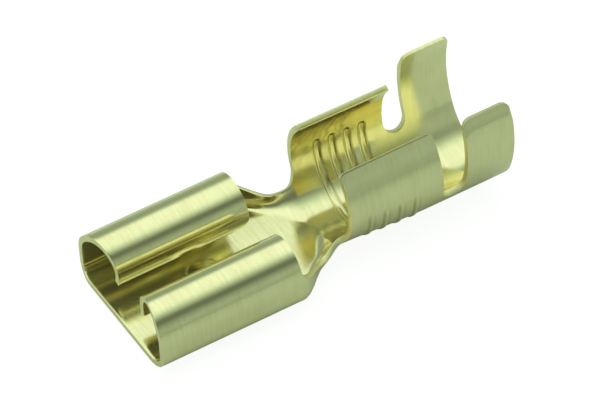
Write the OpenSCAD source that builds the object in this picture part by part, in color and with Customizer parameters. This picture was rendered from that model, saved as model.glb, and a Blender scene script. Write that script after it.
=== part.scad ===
// Female blade terminal with an open crimp barrel, stamped and folded from one piece of brass sheet.
// Millimetres. +X runs from the mouth to the cable end, +Z is up, and the part stands on z = 0.

/* [Sheet] */
// Thickness of the brass sheet
sheet = 0.3; // [0.26:0.02:0.4]

/* [Receptacle] */
// Outer width across the two rolls
recept_w = 7.6; // [7:0.1:8.4]
// Length of the rolls, from the mouth to their back edge
recept_l = 7.5; // [6.5:0.1:9]
// Outer height to the top of the rolls
recept_h = 3.05; // [2.85:0.05:3.4]
// Outer radius of the bend between the floor and a side wall
recept_corner_r = 0.7; // [0.6:0.05:0.9]
// Outer radius of a roll
roll_r = 1.42; // [1.2:0.02:1.6]
// Free height between the floor and the tips of the rolls, for a 0.8 mm tab
tab_gap = 0.85; // [0.7:0.05:1.1]
// How far the mouth edge of a roll falls back at its tip, as a lead-in
mouth_cut = 0.75; // [0.2:0.05:1]
// Radius of the corner between a roll's tip and its back edge
roll_back_r = 0.6; // [0.3:0.05:0.9]

/* [Locking dimple] */
// Distance of the dimple from the mouth
dimple_x = 4.6; // [3:0.1:5.5]
// Radius of the dimple where it leaves the floor
dimple_r = 0.9; // [0.6:0.05:1.2]
// Height of the dimple above the floor
dimple_h = 0.3; // [0.15:0.05:0.4]

/* [Neck] */
// Length of the neck between the rolls and the wire wings
neck_l = 3.2; // [2.8:0.1:4.5]
// Half width of the flat floor at the waist
waist_floor = 1.6; // [1.2:0.05:1.9]
// Outer radius of the bend between floor and wall at the waist
waist_corner_r = 1; // [0.7:0.05:1.3]
// Height of the neck wall next to the receptacle
neck_wall_front = 1.75; // [1.5:0.05:1.9]
// Height of the neck wall at the waist, where it is lowest
neck_wall_waist = 0.6; // [0.5:0.05:0.9]
// Height of the neck wall next to the wire wings
neck_wall_back = 1.3; // [1.1:0.05:1.5]
// Radius of the corner between a roll's back edge and the neck wall
front_fillet = 0.4; // [0.2:0.05:0.5]
// Radius of the corner between the neck wall and a wire wing
back_fillet = 0.5; // [0.3:0.05:0.7]

/* [Barrel] */
// Outer radius of the trough that carries the wings
barrel_r = 2.85; // [2.6:0.05:3.1]
// How far the trough lies below the underside of the receptacle
barrel_drop = 0.3; // [0:0.05:0.5]

/* [Wire wings] */
// Length of a wire wing along the cable
wire_l = 4.9; // [4.4:0.1:6]
// Inward lean of a wire wing above the trough
wire_lean = 8; // [2:1:14]
// Length of the straight wall of a wire wing
wire_wall = 0.3; // [0.2:0.05:0.9]
// Outer radius of the wide bend below a wing's tip
tip_bend_r = 3.2; // [2.4:0.1:4]
// Inward lean of a wing's tip
tip_lean = 38; // [25:1:50]
// Length of the straight tip
tip_l = 0.4; // [0.3:0.05:0.8]
// Bevel inside a wing's tip
tip_bevel = 0.1; // [0.06:0.02:0.16]
// Corner radius of a wire wing
wire_corner_r = 0.25; // [0.15:0.05:0.4]

/* [Serrations] */
// Number of grooves across the wire barrel
groove_n = 4; // [2:1:4]
// Distance of the first groove from the front of the wire wings
groove_x = 1.38; // [0.6:0.02:1.6]
// Distance from one groove to the next
groove_pitch = 0.8; // [0.7:0.01:0.9]
// Radius of the rounded nose that presses a groove
groove_nose_r = 0.22; // [0.18:0.01:0.28]
// Depth of a groove inside, and height of its rib outside
groove_depth = 0.12; // [0.06:0.01:0.16]
// How far a groove reaches up each side, as an angle from the bottom
groove_reach = 90; // [60:1:92]
// How far a rib reaches up each side
rib_reach = 98; // [60:1:100]

/* [Insulation wings] */
// Width of the slot between the wire wings and the insulation wings
slot_w = 1.2; // [0.8:0.05:1.5]
// Height of the slot's round end above the bottom of the trough
slot_floor = 1.6; // [1.4:0.05:1.7]
// Length of an insulation wing along the cable
insul_l = 2.5; // [2:0.1:3.5]
// Angle up the trough at which an insulation wing leaves it
bow_start = 68; // [66:1:72]
// Outer radius of the bowed insulation wing
bow_r = 5.3; // [4.6:0.1:6]
// Inward lean of an insulation wing at its end
bow_lean = 26; // [16:1:32]
// Corner radius of an insulation wing
insul_corner_r = 0.45; // [0.2:0.05:0.7]

/* [Hidden] */
$fn = 64;
brass = [0.80, 0.74, 0.42];

neck_x = recept_l;
wire_x = neck_x + neck_l;
slot_x = wire_x + wire_l;
insul_x = slot_x + slot_w;
total_l = insul_x + insul_l;

floor_half = recept_w / 2 - recept_corner_r;
wall_run = recept_h - recept_corner_r - roll_r;
roll_y = recept_w / 2 - roll_r;
roll_z = recept_h - roll_r;
tip_z = sheet + tab_gap;
roll_turn = 180 + asin((roll_z - tip_z) / roll_r);
lead_z = sheet + tab_gap / 2;

wire_turn = 90 + wire_lean;
tip_turn = tip_lean - wire_lean;
bow_turn = 90 + bow_lean - bow_start;
wire_top = barrel_r * (1 - cos(wire_turn)) + wire_wall * cos(wire_lean)
    + tip_bend_r * (cos(wire_turn) - cos(wire_turn + tip_turn)) + tip_l * cos(tip_lean);
insul_top = barrel_r * (1 - cos(bow_start)) + bow_r * (cos(bow_start) - cos(bow_start + bow_turn));

// How far a cut runs on past a face, and a width that runs past both sides of the part
past = 1;
cut_w = 2 * recept_w;
// Corners of the pie slice that limits a bend
slice_steps = 6;
// Where the neck's floor starts to drop, the round section starts, the waist is, and the barrel starts
drop_start = neck_x + 0.7 * neck_l;
round_start = neck_x + 0.55 * neck_l;
waist_x = neck_x + 0.64 * neck_l;
round_end = wire_x - back_fillet / 2;
// How far the two slopes of the neck's edge are blended where they meet
waist_blend = 0.35;
// Cross-sections along the neck, and points round each of its corners
neck_steps = 20;
corner_steps = 12;
// How far a rib's ring runs on under the surface
rib_run_out = 6;
// Shortest straight at the edge of the neck's wall
edge_run = 0.05;
// The neck's ends reach this far into the receptacle's and the barrel's sheet, this far under its faces
neck_lap = 0.15;
neck_skin = 0.02;

// Sheet sections. A section is a chain of straights and bends, drawn from the middle of the floor outwards.
// The outer face is on the right of the way the chain runs, and every bend turns left.

module run(length) {
    square([length, sheet]);
    translate([length, 0]) children();
}

module bend(turn, outer_r) {
    translate([0, outer_r]) {
        intersection() {
            difference() {
                circle(outer_r);
                circle(outer_r - sheet);
            }
            polygon(concat([[0, 0]], [for (i = [0:slice_steps])
                let (a = turn * i / slice_steps) 2 * outer_r * [sin(a), -cos(a)]]));
        }
        rotate(turn) translate([0, -outer_r]) children();
    }
}

// The end of a wing, thinned on its inner side so that the pair rolls in when it is crimped
module bevelled_tip(length) {
    polygon([[0, 0], [length, 0], [length, sheet - tip_bevel], [length - tip_bevel, sheet], [0, sheet]]);
}

module both_sides() {
    children();
    mirror([1, 0]) children();
}

module receptacle_section() {
    both_sides() run(floor_half) bend(90, recept_corner_r) run(wall_run) bend(roll_turn, roll_r);
}

module wire_section() {
    both_sides() bend(wire_turn, barrel_r) run(wire_wall) bend(tip_turn, tip_bend_r) bevelled_tip(tip_l);
}

module insulation_section() {
    both_sides() bend(bow_start, barrel_r) bend(bow_turn, bow_r);
}

// Sweeps a section, drawn in Y and Z, from x0 to x1
module along_x(x0, x1) {
    translate([x0, 0, 0]) rotate([90, 0, 90]) linear_extrude(x1 - x0) children();
}

// Sweeps a side outline, drawn in X and Z, across a width
module across_y(width) {
    rotate([90, 0, 0]) linear_extrude(width, center = true) children();
}

// What a square corner at the origin loses when it is rounded; the corner points to +X and +Z
module corner_waste(r) {
    difference() {
        translate([-r, -r]) square(r + past);
        translate([-r, -r]) circle(r);
    }
}

// Receptacle

module mouth_waste() {
    inner_y = recept_w / 2 - sheet;
    tip_y = roll_y - roll_r;
    translate([0, 0, lead_z]) linear_extrude(recept_h)
        polygon([[-past, -inner_y], [0, -inner_y], [mouth_cut, -tip_y],
            [mouth_cut, tip_y], [0, inner_y], [-past, inner_y]]);
}

module roll_corner_waste() {
    intersection() {
        across_y(2 * roll_y) translate([recept_l, tip_z]) mirror([0, 1]) corner_waste(roll_back_r);
        translate([0, -roll_y, lead_z]) cube([recept_l + past, 2 * roll_y, recept_h]);
    }
}

module dimple_ball(r, top) {
    translate([dimple_x, 0, top - r]) sphere(r);
}

module receptacle() {
    dimple_ball_r = (dimple_r * dimple_r + dimple_h * dimple_h) / (2 * dimple_h);
    difference() {
        union() {
            along_x(0, recept_l) receptacle_section();
            intersection() {
                dimple_ball(dimple_ball_r, sheet + dimple_h);
                translate([0, -floor_half, sheet / 2]) cube([recept_l, 2 * floor_half, recept_h]);
            }
        }
        mouth_waste();
        roll_corner_waste();
        dimple_ball(dimple_ball_r - sheet, dimple_h);
    }
}

// Neck: a lofted trough whose section changes from the flat floor of the receptacle to the round barrel

function ease(x, from, to) =
    let (t = min(max((x - from) / (to - from), 0), 1)) t * t * (3 - 2 * t);
function mix(a, b, t) = a + (b - a) * t;

function neck_floor(x) =
    mix(mix(floor_half, waist_floor, ease(x, neck_x, waist_x)), 0, ease(x, round_start, round_end));
function neck_corner(x) =
    mix(mix(recept_corner_r, waist_corner_r, ease(x, neck_x, waist_x)), barrel_r,
        ease(x, round_start, round_end));
function neck_bottom(x) = -barrel_drop * ease(x, drop_start, round_end);

// Height of the wall's edge: two slopes that meet at the waist, and round corners up to the rolls and wings
function round_up(gap, r) = gap >= r ? 0 : r - sqrt(r * r - (r - gap) * (r - gap));
function soft_max(a, b, blend) = (a + b + sqrt((a - b) * (a - b) + blend * blend)) / 2;
function neck_edge(x) =
    soft_max(
        mix(neck_wall_front, neck_wall_waist, (x - neck_x) / (waist_x - neck_x)),
        mix(neck_wall_back, neck_wall_waist, (wire_x - x) / (wire_x - waist_x)),
        waist_blend)
    + round_up(x - neck_x, front_fillet) + round_up(wire_x - x, back_fillet);

// Angle through which the sheet is bent up at x: a square corner where the wall is higher than its bend
function neck_turn(x) =
    let (rise = (neck_edge(x) - neck_bottom(x) - edge_run) / neck_corner(x))
    rise > 1 ? 90 : acos(1 - rise);

// Half a section at x, offset inwards by depth, from the middle of the floor to the edge of the wall
function neck_half(x, depth) =
    let (
        r = neck_corner(x),
        turn = neck_turn(x),
        z0 = neck_bottom(x),
        half = neck_floor(x),
        wall = max((neck_edge(x) - z0 - r * (1 - cos(turn))) / sin(turn), edge_run)
    )
    concat(
        [[0, z0 + depth]],
        [for (i = [1:corner_steps])
            let (a = turn * i / corner_steps)
            [half + (r - depth) * sin(a), z0 + r - (r - depth) * cos(a)]],
        [[half + (r - depth) * sin(turn) + wall * cos(turn),
            z0 + r - (r - depth) * cos(turn) + wall * sin(turn)]]
    );
function reversed(list) = [for (i = [len(list) - 1:-1:0]) list[i]];
function whole_line(half) = concat([for (i = [len(half) - 1:-1:1]) [-half[i].x, half[i].y]], half);
function neck_ring(x) =
    let (
        inside = min(max(x, neck_x), wire_x),
        skin = x > neck_x && x < wire_x ? 0 : neck_skin,
        outer = whole_line(neck_half(inside, skin)),
        inner = whole_line(neck_half(inside, sheet - skin))
    )
    [for (p = concat(outer, reversed(inner))) [x, p.x, p.y]];

module neck() {
    shares = [for (i = [0:neck_steps]) (1 - cos(180 * i / neck_steps)) / 2];
    stations = concat(neck_x - neck_lap, [for (t = shares) neck_x + neck_l * t], wire_x + neck_lap);
    rings = [for (x = stations) neck_ring(x)];
    n = len(rings[0]);
    last = len(stations) - 1;
    sides = [for (s = [0:last - 1]) for (k = [0:n - 1])
        [s * n + k, (s + 1) * n + k, (s + 1) * n + (k + 1) % n, s * n + (k + 1) % n]];
    front = [for (k = [0:n / 2 - 2]) [k, k + 1, n - 2 - k, n - 1 - k]];
    back = [for (f = front) [for (k = reversed(f)) last * n + k]];
    polyhedron([for (r = rings) each r], concat(sides, front, back));
}

// Barrel

// Part of a ring about the X axis, the same way up each side from the bottom
module arc_about_x(reach) {
    rotate([0, 90, 0]) rotate(-reach) rotate_extrude(angle = 2 * reach) children();
}

// A groove with round ends. The balls of the ends are turned so that their poles lie in the open hollow.
module groove() {
    ring_r = barrel_r - sheet + groove_depth - groove_nose_r;
    arc_about_x(groove_reach) translate([ring_r, 0]) circle(groove_nose_r);
    for (side = [-1, 1])
        rotate([side * groove_reach, 0, 0]) translate([0, 0, -ring_r])
            rotate([0, -90, 0]) sphere(groove_nose_r);
}

// The rib that a groove pushes out. Its ring lies below the barrel's axis, so it fades out up each side.
module rib() {
    sink = groove_depth / (1 - cos(rib_reach));
    top_r = barrel_r + groove_depth - sink;
    translate([0, 0, -sink]) arc_about_x(rib_reach + rib_run_out) intersection() {
        translate([top_r - groove_nose_r, 0]) circle(groove_nose_r);
        translate([top_r - groove_nose_r, -groove_nose_r]) square(2 * groove_nose_r);
    }
}

module each_groove() {
    for (i = [0:groove_n - 1])
        translate([wire_x + groove_x + i * groove_pitch, 0, barrel_r]) children();
}

module slot_outline() {
    translate([slot_x, slot_floor + slot_w / 2]) square([slot_w, insul_top]);
    translate([slot_x + slot_w / 2, slot_floor + slot_w / 2]) circle(slot_w / 2);
}

module wing_corner(x, top, r, way) {
    translate([x, top]) mirror([way < 0 ? 1 : 0, 0]) corner_waste(r);
}

module barrel() {
    joint_x = slot_x + slot_w / 2;
    difference() {
        union() {
            along_x(wire_x, joint_x) wire_section();
            along_x(joint_x, total_l) insulation_section();
            each_groove() rib();
        }
        each_groove() groove();
        across_y(cut_w) {
            slot_outline();
            wing_corner(wire_x, wire_top, wire_corner_r, -1);
            wing_corner(slot_x, wire_top, wire_corner_r, 1);
            wing_corner(insul_x, insul_top, insul_corner_r, -1);
            wing_corner(total_l, insul_top, insul_corner_r, 1);
        }
    }
}

module terminal() {
    color(brass) translate([-total_l / 2, 0, barrel_drop + groove_depth]) {
        receptacle();
        neck();
        translate([0, 0, -barrel_drop]) barrel();
    }
}

terminal();
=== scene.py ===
# %% [markdown]
# # A brass push-on terminal
# This lesson dresses a small crimp terminal. The real one is a single strip of brass sheet that a
# press stamps out flat and then folds: rolls at the front grip a flat tab, wings at the back are
# crimped on to a cable. The CAD part gives the frame and the size. We load it first.

# %% Load the frame
import bmesh
import bpy
from math import acos, asin, cos, pi, radians, sin, sqrt
from mathutils import Matrix, Vector


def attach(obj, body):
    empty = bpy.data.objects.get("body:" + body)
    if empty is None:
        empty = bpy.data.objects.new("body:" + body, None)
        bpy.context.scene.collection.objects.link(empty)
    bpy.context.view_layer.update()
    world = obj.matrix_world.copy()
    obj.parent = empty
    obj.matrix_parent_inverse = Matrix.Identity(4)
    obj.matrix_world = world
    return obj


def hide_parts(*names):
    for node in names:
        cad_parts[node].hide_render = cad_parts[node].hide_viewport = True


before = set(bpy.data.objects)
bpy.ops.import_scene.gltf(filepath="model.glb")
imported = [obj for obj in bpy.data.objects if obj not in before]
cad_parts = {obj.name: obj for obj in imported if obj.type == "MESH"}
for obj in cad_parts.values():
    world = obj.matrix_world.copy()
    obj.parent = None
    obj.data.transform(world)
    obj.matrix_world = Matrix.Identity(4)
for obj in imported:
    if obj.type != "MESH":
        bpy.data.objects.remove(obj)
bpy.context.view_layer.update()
scene = bpy.context.scene
scene.view_settings.view_transform = "Standard"
MM = 0.001


def in_mm(points):
    return [[round(v / MM, 2) for v in point] for point in points]


# %% [markdown]
# ## The camera
# The photograph was taken with a long lens from the front left, looking down at about 45 degrees
# and a little tilted. We could turn a camera by Euler angles, but building its matrix from three
# directions (to the right, up, and back towards the lens) keeps the tilt a separate, plain number.

# %% Camera
IMAGE_W, FOCAL_PX, SENSOR_W = 600, 5378, 36
TARGET = Vector((0.22, 0.40, 2.42)) * MM
DISTANCE, CLIP_START = 245.4 * MM, 10 * MM
azimuth, elevation, tilt = radians(-28.35), radians(45.41), radians(-3.82)
back = Vector((sin(azimuth) * cos(elevation), -cos(azimuth) * cos(elevation), sin(elevation)))
level = Vector((cos(azimuth), sin(azimuth), 0))
above = back.cross(level)
right = cos(tilt) * level + sin(tilt) * above
up = cos(tilt) * above - sin(tilt) * level
camera_data = bpy.data.cameras.new("camera")
camera_data.sensor_width = SENSOR_W
camera_data.lens = FOCAL_PX * SENSOR_W / IMAGE_W
camera_data.clip_start = CLIP_START
camera = bpy.data.objects.new("camera", camera_data)
turn = Matrix((right, up, back)).transposed().to_4x4()
camera.matrix_world = Matrix.Translation(TARGET + DISTANCE * back) @ turn
scene.collection.objects.link(camera)
scene.camera = camera
print("Camera:", round(camera_data.lens, 1), "mm lens, at", in_mm([camera.location])[0], "mm")

# %% [markdown]
# ## Sizes of the folded sheet
# All sizes are in millimetres, and the angles of the bends in degrees. They follow the CAD part,
# and a few are eased by a tenth or two of a millimetre to match the photograph. x runs from the
# mouth to the cable end: first the receptacle, which grips the tab between its floor and two
# rolls, then the neck, the wire wings, a slot, and the insulation wings.

# %% Sizes
SHEET = 0.3
MID = SHEET / 2
RECEPT_L, RECEPT_W, RECEPT_H = 7.5, 7.6, 3.05
CORNER_R, ROLL_R, TAB_GAP = 0.7, 1.42, 0.85
NECK_L, WAIST_FLOOR, WAIST_R = 3.2, 1.6, 1.0
BARREL_R, BARREL_DROP = 2.85, 0.3
WIRE_L, WIRE_LEAN, WIRE_WALL = 4.9, 8, 0.3
TIP_BEND_R, TIP_LEAN, TIP_L = 3.2, 38, 0.4
SLOT_W, INSUL_L = 1.2, 2.5
BOW_START, BOW_R, BOW_LEAN = 68, 6.0, 19.5
NECK_X = RECEPT_L
WIRE_X = NECK_X + NECK_L
SLOT_X = WIRE_X + WIRE_L
SLOT_MID = SLOT_X + SLOT_W / 2
INSUL_X = SLOT_X + SLOT_W
TOTAL_L = INSUL_X + INSUL_L
FLOOR_HALF = RECEPT_W / 2 - CORNER_R
ROLL_Z = RECEPT_H - ROLL_R
WALL_RUN = ROLL_Z - CORNER_R
ROLL_TURN = 180 + asin((ROLL_Z - SHEET - TAB_GAP) / ROLL_R) * 180 / pi
print("Length of the strip:", TOTAL_L, "mm")

# %% [markdown]
# ## Sections
# A section across the part is a chain: a flat floor, a bend, a straight wall and a second bend.
# Only the six numbers of this chain change along the part, so one function of x gives every
# section. The neck eases from the flat floor of the receptacle to the round trough of the barrel.
# A smooth step does that without a kink, which matters here: polished metal shows every kink as a
# broken reflection.

# %% Sections
BACK_FILLET = 0.5
WAIST_X = NECK_X + 0.64 * NECK_L
ROUND_START, ROUND_END = NECK_X + 0.55 * NECK_L, WIRE_X - BACK_FILLET / 2
DROP_START, DROP_END = NECK_X + 0.72 * NECK_L, WIRE_X + 4.4


def ease(x, start, stop):
    """A smooth step, 0 up to start and 1 from stop on."""
    t = min(max((x - start) / (stop - start), 0), 1)
    return t * t * (3 - 2 * t)


def mix(a, b, t):
    return a + (b - a) * t


def bottom(x):
    """Height of the floor at x: it sinks along the neck and the wire wings."""
    return -BARREL_DROP * ease(x, DROP_START, DROP_END)


def section(x):
    """Floor half width, bend radius and angle, wall, second bend radius and angle at x."""
    if x <= NECK_X:
        return FLOOR_HALF, CORNER_R, 90, WALL_RUN, ROLL_R, ROLL_TURN
    if x >= SLOT_MID:
        return 0, BARREL_R, BOW_START, 0, BOW_R, 90 + BOW_LEAN - BOW_START
    to_waist = ease(x, NECK_X, WAIST_X)
    to_round = ease(x, ROUND_START, ROUND_END)
    to_wire = ease(x, NECK_X, WIRE_X)
    floor = mix(mix(FLOOR_HALF, WAIST_FLOOR, to_waist), 0, to_round)
    corner = mix(mix(CORNER_R, WAIST_R, to_waist), BARREL_R, to_round)
    wall = mix(WALL_RUN, WIRE_WALL - (BARREL_DROP + bottom(x)), to_wire)
    return (floor, corner, mix(90, 90 + WIRE_LEAN, to_wire), wall,
            mix(ROLL_R, TIP_BEND_R, to_wire), mix(ROLL_TURN, TIP_LEAN - WIRE_LEAN, to_wire))


print("Waist section:", [round(v, 2) for v in section(WAIST_X)])

# %% [markdown]
# ## Walking along a section
# A press folds the flat strip, and so do we. Every point of the flat strip has a place x along it,
# a distance s from its middle line and a depth below the outer face, and walking s along the
# section's chain gives its place in the folded part. We could model the folded form directly, but
# then the sheet's thickness, its edges and its rolling marks would have to be carried round each
# bend by hand.

# %% Walk
def walk(x, s, depth):
    """Y and Z of the point at distance s along the section at x, at a depth in the sheet."""
    floor, r1, a1, wall, r2, a2 = section(x)
    y, z, heading, left = 0.0, MID, 0.0, abs(s)
    for run, r, a in ((floor, r1, a1), (wall, r2, a2)):
        step = min(left, run)
        y, z, left = y + step * cos(heading), z + step * sin(heading), left - step
        bend = min(left / (r - MID), radians(a))
        y += (r - MID) * (sin(heading + bend) - sin(heading))
        z += (r - MID) * (cos(heading) - cos(heading + bend))
        heading, left = heading + bend, left - bend * (r - MID)
    y += left * cos(heading) - (depth - MID) * sin(heading)
    z += left * sin(heading) + (depth - MID) * cos(heading)
    return (-y if s < 0 else y), z


def chain_length(x):
    """Length of the chain at x, along the middle of the sheet."""
    floor, r1, a1, wall, r2, a2 = section(x)
    return floor + (r1 - MID) * radians(a1) + wall + (r2 - MID) * radians(a2)


print("Flat width of the receptacle:", round(2 * chain_length(0), 1), "mm")

# %% [markdown]
# ## Grooves and ribs
# Punches press four grooves across the wire barrel, which bite into the strands, and outside the
# metal comes out as four soft ribs. The real grooves run a little askew. Boolean cuts could make
# them, but they leave ragged faces in so thin a sheet. Moving the points in depth, before the
# fold, keeps the sheet closed and smooth.

# %% Grooves and ribs
GROOVE_N, GROOVE_START, GROOVE_PITCH = 4, 1.38, 0.8
GROOVE_NOSE, GROOVE_DEPTH, GROOVE_REACH = 0.22, 0.12, radians(88.5)
GROOVE_SKEW, SKEW_FROM = 0.0375, 4.0
RIB_NOSE, RIB_SIDE, RIB_TURN = 0.2, 0.06, radians(45)
RIB_FADE, RIB_REACH = radians(82), radians(93)
GROOVE_X = [WIRE_X + GROOVE_START + i * GROOVE_PITCH for i in range(GROOVE_N)]
BARREL_MID_R = BARREL_R - MID


def dome(distance, nose, height):
    """Height of a round nose that stands up by height, at a distance from its middle."""
    inside = nose * nose - distance * distance
    return max(sqrt(inside) - (nose - height), 0) if inside > 0 else 0


def from_groove(x, s):
    """Distance along x from the nearest groove, whose line runs askew across the strip."""
    return min((x - g - GROOVE_SKEW * (s - SKEW_FROM) for g in GROOVE_X), key=abs)


def rib_height(s):
    """Height of the rib outside a groove, which fades out up the wing."""
    angle = abs(s) / BARREL_MID_R
    height = mix(GROOVE_DEPTH, RIB_SIDE, ease(angle, 0, RIB_TURN))
    return height * (1 - ease(angle, RIB_FADE, RIB_REACH))


def pressed(x, s, depth):
    """How far the punches push a point outwards: by the groove inside, by the rib outside."""
    if not WIRE_X < x < SLOT_X:
        return 0
    gap = from_groove(x, s)
    past_end = max(abs(s) / BARREL_MID_R - GROOVE_REACH, 0) * (BARREL_R - SHEET)
    groove = dome(sqrt(gap * gap + past_end * past_end), GROOVE_NOSE, GROOVE_DEPTH)
    return mix(dome(gap, RIB_NOSE, rib_height(s)), groove, depth / SHEET)


print("Grooves at x in mm:", [round(x, 2) for x in GROOVE_X])

# %% [markdown]
# ## The dimple and the whole fold
# A dimple in the floor of the receptacle snaps into the hole of the tab. It is a low cap of a
# ball, hollow underneath, so both faces of the sheet rise by the same amount. With it, one
# function takes any point of the flat strip to its place in the finished part, in metres.

# %% Fold
DIMPLE_X, DIMPLE_R, DIMPLE_H = 4.6, 0.9, 0.3
DIMPLE_BALL = (DIMPLE_R ** 2 + DIMPLE_H ** 2) / (2 * DIMPLE_H)
LIFT = BARREL_DROP + GROOVE_DEPTH


def fold(flat):
    x, s, depth = flat
    y, z = walk(x, s, depth - pressed(x, s, depth))
    if x < NECK_X and abs(s) < FLOOR_HALF:
        reach = sqrt((x - DIMPLE_X) ** 2 + s * s)
        z += dome(reach, DIMPLE_BALL, DIMPLE_H)
    return Vector((x - TOTAL_L / 2, y, z + bottom(x) + LIFT)) * MM


print("Top of the dimple in mm:", in_mm([fold((DIMPLE_X, 0, SHEET))])[0])

# %% [markdown]
# ## The outline of the blank
# The blank is cut out flat. Its outline has a notch at each side of the neck, a slot before each
# insulation wing, and round corners on the rolls and wings. Cutting curves out of a plain sheet
# would leave ragged faces, so the mesh is a lattice with two rows laid along the outline: a low
# one where the notches and slots end, and a high one at the tips of the rolls and wings.

# %% Low edge
NECK_FRONT, NECK_WAIST, NECK_BACK = 1.75, 0.6, 1.3
FRONT_FILLET, WAIST_BLEND, SLOT_FLOOR = 0.4, 0.35, 1.6


def round_off(gap, r):
    """What a corner of radius r takes off an edge at a distance from the corner."""
    return r - sqrt(r * r - (r - gap) ** 2) if gap < r else 0


def up_to_height(x, height):
    """Distance along the section at which its outer face has risen by height."""
    floor, r1 = section(x)[:2]
    if height > r1:
        return floor + (r1 - MID) * pi / 2 + height - r1
    return floor + (r1 - MID) * acos(1 - height / r1)


NOTCH_TOP_FRONT = up_to_height(NECK_X, NECK_FRONT + FRONT_FILLET)
NOTCH_TOP_BACK = up_to_height(WIRE_X, NECK_BACK + BACK_FILLET + BARREL_DROP)
SLOT_TOP = up_to_height(SLOT_X, SLOT_FLOOR + SLOT_W / 2)


def low_edge(x):
    """The edge of the neck and of the slot, and a plain row elsewhere."""
    if x <= NECK_X:
        return NOTCH_TOP_FRONT
    if x < WIRE_X:
        front = mix(NECK_FRONT, NECK_WAIST, (x - NECK_X) / (WAIST_X - NECK_X))
        rear = mix(NECK_BACK, NECK_WAIST, (WIRE_X - x) / (WIRE_X - WAIST_X))
        edge = (front + rear + sqrt((front - rear) ** 2 + WAIST_BLEND ** 2)) / 2
        edge += round_off(x - NECK_X, FRONT_FILLET) + round_off(WIRE_X - x, BACK_FILLET)
        return up_to_height(x, edge - bottom(x))
    if x <= SLOT_X:
        return mix(NOTCH_TOP_BACK, SLOT_TOP, (x - WIRE_X) / WIRE_L)
    if x < INSUL_X:
        half = SLOT_W / 2
        off = x - SLOT_X - half
        return up_to_height(x, SLOT_FLOOR + half - sqrt(half * half - off * off))
    return SLOT_TOP


print("Flat width of the waist:", round(2 * low_edge(WAIST_X), 2), "mm")

# %% High edge
ROLL_BACK_R, WIRE_CORNER, INSUL_CORNER = 0.6, 0.25, 0.45
WASTE_W = 1


def high_edge(x):
    """The tips of the rolls and wings, with their corners rounded, and waste between them."""
    if x <= NECK_X:
        return chain_length(x) - round_off(NECK_X - x, ROLL_BACK_R)
    if WIRE_X <= x <= SLOT_X:
        return chain_length(x) + TIP_L - round_off(min(x - WIRE_X, SLOT_X - x), WIRE_CORNER)
    if x >= INSUL_X:
        return chain_length(x) - round_off(min(x - INSUL_X, TOTAL_L - x), INSUL_CORNER)
    return low_edge(x) + WASTE_W


print("Flat width of the insulation wings:", round(2 * high_edge(TOTAL_L - INSUL_L / 2), 1), "mm")

# %% [markdown]
# ## The lattice
# Even columns would cut every round corner into steps. These crowd together at the corners, like
# points on an arc seen from the side, so that each corner is round and the rows stay smooth. The
# columns of the wire barrel are the closest, because they carry the grooves.

# %% Columns and rows
def spread(start, stop, count):
    return [mix(start, stop, i / count) for i in range(count)]


def crowd(start, stop, count, at_start, at_stop):
    """Columns from start to stop that crowd together at one end or at both."""
    if at_start and at_stop:
        return [mix(start, stop, (1 - cos(pi * i / count)) / 2) for i in range(count)]
    if at_start:
        return [mix(start, stop, 1 - cos(pi / 2 * i / count)) for i in range(count)]
    return [mix(start, stop, sin(pi / 2 * i / count)) for i in range(count)]


columns = (
    spread(0, RECEPT_L - ROLL_BACK_R, count=46)
    + crowd(RECEPT_L - ROLL_BACK_R, NECK_X, 8, at_start=False, at_stop=True)
    + crowd(NECK_X, NECK_X + FRONT_FILLET, 10, at_start=True, at_stop=False)
    + spread(NECK_X + FRONT_FILLET, WIRE_X - BACK_FILLET, count=18)
    + crowd(WIRE_X - BACK_FILLET, WIRE_X, 10, at_start=False, at_stop=True)
    + crowd(WIRE_X, WIRE_X + WIRE_CORNER, 6, at_start=True, at_stop=False)
    + spread(WIRE_X + WIRE_CORNER, SLOT_X - WIRE_CORNER, count=96)
    + crowd(SLOT_X - WIRE_CORNER, SLOT_X, 6, at_start=False, at_stop=True)
    + crowd(SLOT_X, INSUL_X, 18, at_start=True, at_stop=True)
    + crowd(INSUL_X, INSUL_X + INSUL_CORNER, 7, at_start=True, at_stop=False)
    + spread(INSUL_X + INSUL_CORNER, TOTAL_L - INSUL_CORNER, count=14)
    + crowd(TOTAL_L - INSUL_CORNER, TOTAL_L, 7, at_start=False, at_stop=True)
    + [TOTAL_L]
)
FINE_UP_TO = 1.3
half_rows = (
    spread(0, 1, count=22)
    + spread(1, FINE_UP_TO, count=14)
    + spread(FINE_UP_TO, 2, count=20)
    + [2]
)
rows = [-r for r in reversed(half_rows[1:])] + half_rows
print("Lattice:", len(columns), "columns,", len(rows), "rows")

# %% [markdown]
# ## Stamping
# A grid operator makes the lattice, and each point moves to its place on the blank. The mouth is
# cut back on the rolls, which leads the tab in. Then the notches and slots are deleted, as the
# punch cuts them out, and one extrusion gives the strip its thickness.

# %% Stamp the blank
MOUTH_CUT, WALL_CUT = 0.65, 0.13
GRID_HALF = 0.5
NOTCHES = ((NECK_X, WIRE_X), (SLOT_X, INSUL_X))


def place(x, row):
    """Flat place of a lattice point: rows to 1 fill the base, rows to 2 the rolls and wings."""
    share = abs(row)
    low = low_edge(x)
    s = low * share if share <= 1 else mix(low, high_edge(x), share - 1)
    if x < NECK_X:
        cut = WALL_CUT * ease(s, FLOOR_HALF - SHEET, FLOOR_HALF + CORNER_R)
        if s > low:
            y = abs(walk(0, s, MID)[0])
            fall = (RECEPT_W / 2 - SHEET - y) / (2 * ROLL_R - SHEET)
            cut = mix(WALL_CUT, MOUTH_CUT, min(max(fall, 0), 1))
        x += cut * (1 - x / NECK_X)
    return Vector((x, s if row > 0 else -s, 0))


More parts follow.
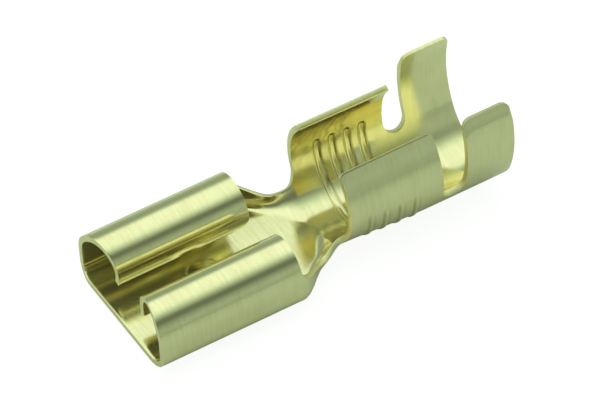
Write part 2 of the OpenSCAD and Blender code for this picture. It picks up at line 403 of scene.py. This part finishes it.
bm = bmesh.new()
last_column, last_row = len(columns) - 1, len(rows) - 1
bmesh.ops.create_grid(bm, x_segments=last_column, y_segments=last_row, size=GRID_HALF)
lattice = {}
for v in bm.verts:
    x = columns[round((v.co.x + GRID_HALF) * last_column)]
    row = rows[round((v.co.y + GRID_HALF) * last_row)]
    v.co = place(x, row)
    lattice[v] = (x, abs(row))
waste = []
for f in bm.faces:
    xs, shares = zip(*(lattice[v] for v in f.verts))
    if max(shares) > 1 and any(min(xs) >= a and max(xs) <= b for a, b in NOTCHES):
        waste.append(f)
bmesh.ops.delete(bm, geom=waste, context="FACES")
lifted = bmesh.ops.extrude_face_region(bm, geom=bm.faces[:])["geom"]
inner = [g for g in lifted if isinstance(g, bmesh.types.BMVert)]
bmesh.ops.translate(bm, verts=inner, vec=(0, 0, SHEET))
bmesh.ops.recalc_face_normals(bm, faces=bm.faces[:])
print("Blank:", len(bm.verts), "points,", len(bm.faces), "faces")

# %% [markdown]
# ## Edges and tips
# Shearing leaves the edges slightly rounded, and a small bevel round the rim catches the light as
# they do. A bevel modifier after the fold would have to tell edges from bends, so ours comes while
# the strip is flat. The tips are thinned too: a bevel inside the wire wings, which starts their
# curl in the crimp, and a slow taper outside the insulation wings.

# %% Round the edges and thin the tips
EDGE_ROUND, SHARP, LEVEL = 0.035, radians(60), 1e-6
TIP_BEVEL, THIN_TIP, TAPER_L = 0.1, 0.13, 0.7
rim = [e for e in bm.edges if e.is_manifold and e.calc_face_angle() > SHARP
       and abs(e.verts[0].co.z - e.verts[1].co.z) < LEVEL]
bmesh.ops.bevel(bm, geom=rim, offset=EDGE_ROUND, offset_type="OFFSET", affect="EDGES", segments=2,
                profile=0.5, material=-1, clamp_overlap=True)
for v in bm.verts:
    if WIRE_X <= v.co.x <= SLOT_X and v.co.z > MID:
        bevel_start = chain_length(v.co.x) + TIP_L - TIP_BEVEL
        short = max(abs(v.co.y) - bevel_start, 0) / TIP_BEVEL
        v.co.z -= TIP_BEVEL * min(short, 1)
    if v.co.x > SLOT_MID and v.co.z < MID:
        tip = high_edge(min(max(v.co.x, INSUL_X), TOTAL_L))
        v.co.z += THIN_TIP * ease(abs(v.co.y), tip - TAPER_L, tip)
print("Rim:", len(rim), "edges rounded, now", len(bm.verts), "points")

# %% [markdown]
# ## Marks for the material
# The material needs three things that only the flat strip knows. Its flat coordinates become a UV
# map, so that rolling streaks follow every bend. One number marks the sheared edges, which are
# duller. Another marks painted shade at the feet of the grooves and ribs, strongest on one flank.

# %% Mark the edges and the painted shade
# Width of the painted shade lines at the feet of the grooves and ribs, and their share on the
# weaker flank.
CREASE_W, CREASE_WEAK = 0.11, 0.35
EDGE_FACING = 0.5


def rib_shade_at(x, s, depth):
    """How much painted shade a point gets: most of it on the flanks that face the mouth."""
    if not WIRE_X < x < SLOT_X:
        return 0
    gap = from_groove(x, s)
    inside = depth > MID
    nose = GROOVE_NOSE if inside else RIB_NOSE
    height = GROOVE_DEPTH if inside else rib_height(s)
    foot = sqrt(nose ** 2 - (nose - height) ** 2)
    line = max(1 - abs(abs(gap) - foot) / CREASE_W, 0)
    if inside and abs(s) > GROOVE_REACH * BARREL_MID_R:
        line = 0
    return line * min(height / RIB_SIDE, 1) * (1 if (gap > 0) == inside else CREASE_WEAK)


blank_uv = bm.loops.layers.uv.new("blank")
sheared = bm.verts.layers.float.new("sheared")
# A float per point: how much painted shade the brass gets at the grooves and ribs.
tarnish = bm.verts.layers.float.new("tarnish")
for v in bm.verts:
    v[tarnish] = rib_shade_at(*v.co)
for f in bm.faces:
    f.smooth = True
    for loop in f.loops:
        loop[blank_uv].uv = loop.vert.co.xy
    if abs(f.normal.z) < EDGE_FACING:
        for v in f.verts:
            v[sheared] = 1
print("Sheared points:", sum(v[sheared] > 0 for v in bm.verts),
      "rib_shaded points:", sum(v[tarnish] > 0 for v in bm.verts))

# %% [markdown]
# ## Folding
# Now every point goes through the fold. The finished sheet rides on the part's only body and
# stands in for the CAD solid.

# %% Fold the sheet
for v in bm.verts:
    v.co = fold(v.co)
mesh = bpy.data.meshes.new("terminal_sheet")
bm.to_mesh(mesh)
bm.free()
sheet = bpy.data.objects.new("terminal_sheet", mesh)
scene.collection.objects.link(sheet)
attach(sheet, "root")
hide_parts("terminal")
print("Folded sheet:", len(mesh.vertices), "points,", len(mesh.polygons), "faces")

# %% [markdown]
# ## Shader maths
# Materials are trees of nodes. Linking each node by hand hides the sum that they work out, so a
# small class wraps a socket, and the patterns below read as sums. One method makes any other node.

# %% Socket class
class Value:
    """A node's output, on which plus, minus and times add Math nodes."""

    def __init__(self, tree, socket):
        self.tree, self.socket = tree, socket

    def maths(self, operation, first, second):
        return self.tree.node("ShaderNodeMath", {"operation": operation}, {0: first, 1: second})

    def __add__(self, other):
        return self.maths("ADD", self, other)

    __radd__ = __add__

    def __mul__(self, other):
        return self.maths("MULTIPLY", self, other)

    __rmul__ = __mul__

    def __sub__(self, other):
        return self.maths("SUBTRACT", self, other)

    def __rsub__(self, other):
        return self.maths("SUBTRACT", other, self)


class Tree:
    """The emptied node tree of a material or world."""

    def __init__(self, owner):
        owner.use_nodes = True
        self.tree = owner.node_tree
        self.tree.nodes.clear()

    def node(self, kind, settings, inputs, output=0):
        made = self.tree.nodes.new(kind)
        for name, value in settings.items():
            if name == "stops":
                ramp = made.color_ramp
                while len(ramp.elements) < len(value):
                    ramp.elements.new(1)
                for element, (position, colour) in zip(ramp.elements, value):
                    element.position, element.color = position, colour
            else:
                setattr(made, name, value)
        for name, value in inputs.items():
            if isinstance(value, Value):
                self.tree.links.new(value.socket, made.inputs[name])
            else:
                made.inputs[name].default_value = value
        return Value(self, made.outputs[output]) if made.outputs else None


print("Socket class ready")

# %% [markdown]
# ## Brass
# Rolled brass is bright, slightly greenish yellow, with fine streaks that run the way the strip
# was rolled, across the part. A photograph of metal could be wrapped round it, but noise on the
# flat coordinates has no seams and follows every bend. Pale streaks are smoother, sheared edges
# are duller, and painted shade browns the feet of the grooves and ribs.

# %% Brass
# The brown colour is painted shade for the feet of the grooves and ribs.
PALE, DEEP, SHADE_BROWN = (0.92, 0.86, 0.5, 1), (0.837, 0.775, 0.415, 1), (0.46, 0.38, 0.13, 1)
STREAK_STRETCH = (7, 0.5, 1)
STREAK_SHARE, REST_SHARE = 0.6, 0.4
RIB_SHADE_SHARE = 0.8
ROUGH, PALE_POLISH, SHEAR_DULL = 0.2, 0.1, 0.3
COLOUR_MIX = {"data_type": "RGBA"}
brass = bpy.data.materials.new("rolled_brass")
tree = Tree(brass)
flat = tree.node("ShaderNodeUVMap", {"uv_map": "blank"}, {})
stretch = tree.node("ShaderNodeMapping", {}, {"Vector": flat, "Scale": STREAK_STRETCH})
streaks = tree.node("ShaderNodeTexNoise", {},
                    {"Vector": stretch, "Scale": 1, "Detail": 4, "Roughness": 0.65})
grain = tree.node("ShaderNodeTexNoise", {},
                  {"Vector": flat, "Scale": 5, "Detail": 3, "Roughness": 0.6})
clouds = tree.node("ShaderNodeTexNoise", {}, {"Vector": flat, "Scale": 0.9, "Detail": 2})
shade = tree.node("ShaderNodeMapRange", {},
                  {"Value": streaks * STREAK_SHARE + clouds * REST_SHARE,
                   "From Min": 0.36, "From Max": 0.64})
edge = tree.node("ShaderNodeAttribute", {"attribute_name": "sheared"}, {}, output="Fac")
# The mark of painted shade at the grooves and ribs.
foot = tree.node("ShaderNodeAttribute", {"attribute_name": "tarnish"}, {}, output="Fac")
unshaded = tree.node("ShaderNodeMix", COLOUR_MIX, {"Factor": shade, "A": DEEP, "B": PALE},
                  output="Result")
# Painted shade browns the brass at the feet of the grooves and ribs, most on one flank.
tint = tree.node("ShaderNodeMix", COLOUR_MIX,
                 {"Factor": foot * RIB_SHADE_SHARE, "A": unshaded, "B": SHADE_BROWN}, output="Result")
rough = ROUGH - shade * PALE_POLISH + edge * SHEAR_DULL
bump = tree.node("ShaderNodeBump", {},
                 {"Height": streaks * STREAK_SHARE + grain * REST_SHARE,
                  "Strength": 0.1, "Distance": 0.02 * MM})
shader = tree.node("ShaderNodeBsdfPrincipled", {},
                   {"Base Color": tint, "Roughness": rough, "Metallic": 0.93, "Normal": bump})
tree.node("ShaderNodeOutputMaterial", {}, {"Surface": shader})
sheet.data.materials.append(brass)
print("Brass:", len(brass.node_tree.nodes), "nodes")

# %% [markdown]
# ## The floor
# The part lies on a white table. The picture's background is pure white, with only a faint shadow
# under the part. More light would make a grey floor white, but it would bleach the brass as well.
# So the floor glows for the camera, and keeps a share of its lit paper, which holds the shadow.
# The metal mostly sees the lit paper.

# %% Floor
TABLE_HALF = 160 * MM
CAMERA_SHARE, METAL_SHARE = 0.7, 0.04
floor_mesh = bpy.data.meshes.new("floor")
bm = bmesh.new()
bmesh.ops.create_grid(bm, x_segments=1, y_segments=1, size=TABLE_HALF)
bm.to_mesh(floor_mesh)
bm.free()
floor = bpy.data.objects.new("floor", floor_mesh)
scene.collection.objects.link(floor)
paper = bpy.data.materials.new("paper")
tree = Tree(paper)
lit = tree.node("ShaderNodeBsdfDiffuse", {}, {"Color": (0.74, 0.79, 0.74, 1)})
white = tree.node("ShaderNodeEmission", {}, {"Color": (1, 1, 1, 1), "Strength": 1.3})
to_camera = tree.node("ShaderNodeLightPath", {}, {}, output="Is Camera Ray")
to_metal = tree.node("ShaderNodeLightPath", {}, {}, output="Is Glossy Ray")
to_glass = tree.node("ShaderNodeLightPath", {}, {}, output="Is Transmission Ray")
seen = to_camera * CAMERA_SHARE + (to_metal + to_glass) * METAL_SHARE
both = tree.node("ShaderNodeMixShader", {}, {0: seen, 1: lit, 2: white})
tree.node("ShaderNodeOutputMaterial", {}, {"Surface": both})
floor_mesh.materials.append(paper)
print("Floor:", in_mm([floor.dimensions])[0], "mm")

# %% [markdown]
# ## The room
# An even, slightly green light fills the room, as tube lamps give it, and keeps the sides of the
# part from going black. A few lamps could do that, but each would leave its own hard spot on the
# metal. To the camera the room is plain white, so the picture has no horizon.

# %% Room
TUBE_LIGHT = (0.788, 1.0, 0.84)
world = bpy.data.worlds.new("room")
scene.world = world
tree = Tree(world)
room = tree.node("ShaderNodeBackground", {}, {"Color": (*TUBE_LIGHT, 1), "Strength": 0.43})
blank_wall = tree.node("ShaderNodeBackground", {}, {"Color": (1, 1, 1, 1), "Strength": 1})
to_camera = tree.node("ShaderNodeLightPath", {}, {}, output="Is Camera Ray")
around = tree.node("ShaderNodeMixShader", {}, {0: to_camera, 1: room, 2: blank_wall})
tree.node("ShaderNodeOutputWorld", {}, {"Surface": around})
print("Room:", len(world.node_tree.nodes), "nodes")

# %% [markdown]
# ## The sky card
# Bare metal shows little but what it reflects, so the light above it is part of its looks. A large
# soft box hangs over the table. Area lamps have one even colour, but a card with its own glowing
# material can be bright in the middle and fade towards its sides, which gives the rolls their long
# soft stripes.

# %% Sky card
SKY_HEIGHT = 40 * MM
SKY_X, SKY_Y = (-0.15, 0.2), (-0.2, 0.2)
sky_size = (SKY_X[1] - SKY_X[0], SKY_Y[1] - SKY_Y[0], 1)
sky_middle = (sum(SKY_X) / 2, sum(SKY_Y) / 2, SKY_HEIGHT)
sky_mesh = bpy.data.meshes.new("sky_card")
bm = bmesh.new()
bmesh.ops.create_grid(bm, x_segments=1, y_segments=1, size=GRID_HALF)
bmesh.ops.scale(bm, vec=sky_size, verts=bm.verts[:])
bmesh.ops.translate(bm, vec=sky_middle, verts=bm.verts[:])
bm.to_mesh(sky_mesh)
bm.free()
sky = bpy.data.objects.new("sky_card", sky_mesh)
sky.visible_camera = False
scene.collection.objects.link(sky)
print("Sky card:", in_mm([sky.dimensions])[0], "mm")

# %% [markdown]
# ## Bands of light
# The card's brightness is a list of bands from front to back, each a place in millimetres and a
# level. The front has a dark band that ends beyond the cable end, so two ramps are mixed along x.
# The bright middle is a little whiter than the rest.

# %% Bands of light
PALE_LIGHT = (0.875, 1.0, 0.93)
DARK_FADE = (22, 34)
FRONT_DARK = ((-200, 0.44), (-100, 0.42), (-72, 0.37), (-54, 0.29), (-43, 0.17), (-30, 0.15),
              (-24, 0.3))
FRONT_PLAIN = ((-200, 0.46), (-100, 0.47), (-72, 0.47), (-54, 0.47), (-43, 0.46), (-30, 0.46),
               (-24, 0.48))
SKY_BANDS = ((-16, 0.6), (-9, 0.95), (-2, 1.12), (8, 1.155), (26, 1.155), (35, 1.07), (42, 0.8),
             (50, 0.53), (62, 0.39), (85, 0.34), (200, 0.37))


def sky_ramp(tree, from_front, bands):
    """The colour of the card at each share of the way from its front to its back."""
    stops = []
    for y, brightness in bands:
        light = PALE_LIGHT if brightness > 1 else TUBE_LIGHT
        position = (y * MM - SKY_Y[0]) / (SKY_Y[1] - SKY_Y[0])
        stops.append((position, (*(c * brightness for c in light), 1)))
    return tree.node("ShaderNodeValToRGB", {"stops": stops}, {"Fac": from_front})


glow = bpy.data.materials.new("sky_card")
tree = Tree(glow)
spot = tree.node("ShaderNodeTexCoord", {}, {}, output="Object")
along = tree.node("ShaderNodeSeparateXYZ", {}, {"Vector": spot}, output="X")
across = tree.node("ShaderNodeSeparateXYZ", {}, {"Vector": spot}, output="Y")
from_front = tree.node("ShaderNodeMapRange", {},
                       {"Value": across, "From Min": SKY_Y[0], "From Max": SKY_Y[1]})
fade = tree.node("ShaderNodeMapRange", {},
                 {"Value": along, "From Min": DARK_FADE[0] * MM, "From Max": DARK_FADE[1] * MM})
dark_side = sky_ramp(tree, from_front, FRONT_DARK + SKY_BANDS)
plain_side = sky_ramp(tree, from_front, FRONT_PLAIN + SKY_BANDS)
bands = tree.node("ShaderNodeMix", COLOUR_MIX, {"Factor": fade, "A": dark_side, "B": plain_side},
                  output="Result")
lit_sky = tree.node("ShaderNodeEmission", {}, {"Color": bands, "Strength": 1})
tree.node("ShaderNodeOutputMaterial", {}, {"Surface": lit_sky})
sky_mesh.materials.append(glow)
print("Bands:", len(FRONT_DARK + SKY_BANDS), "across the card")
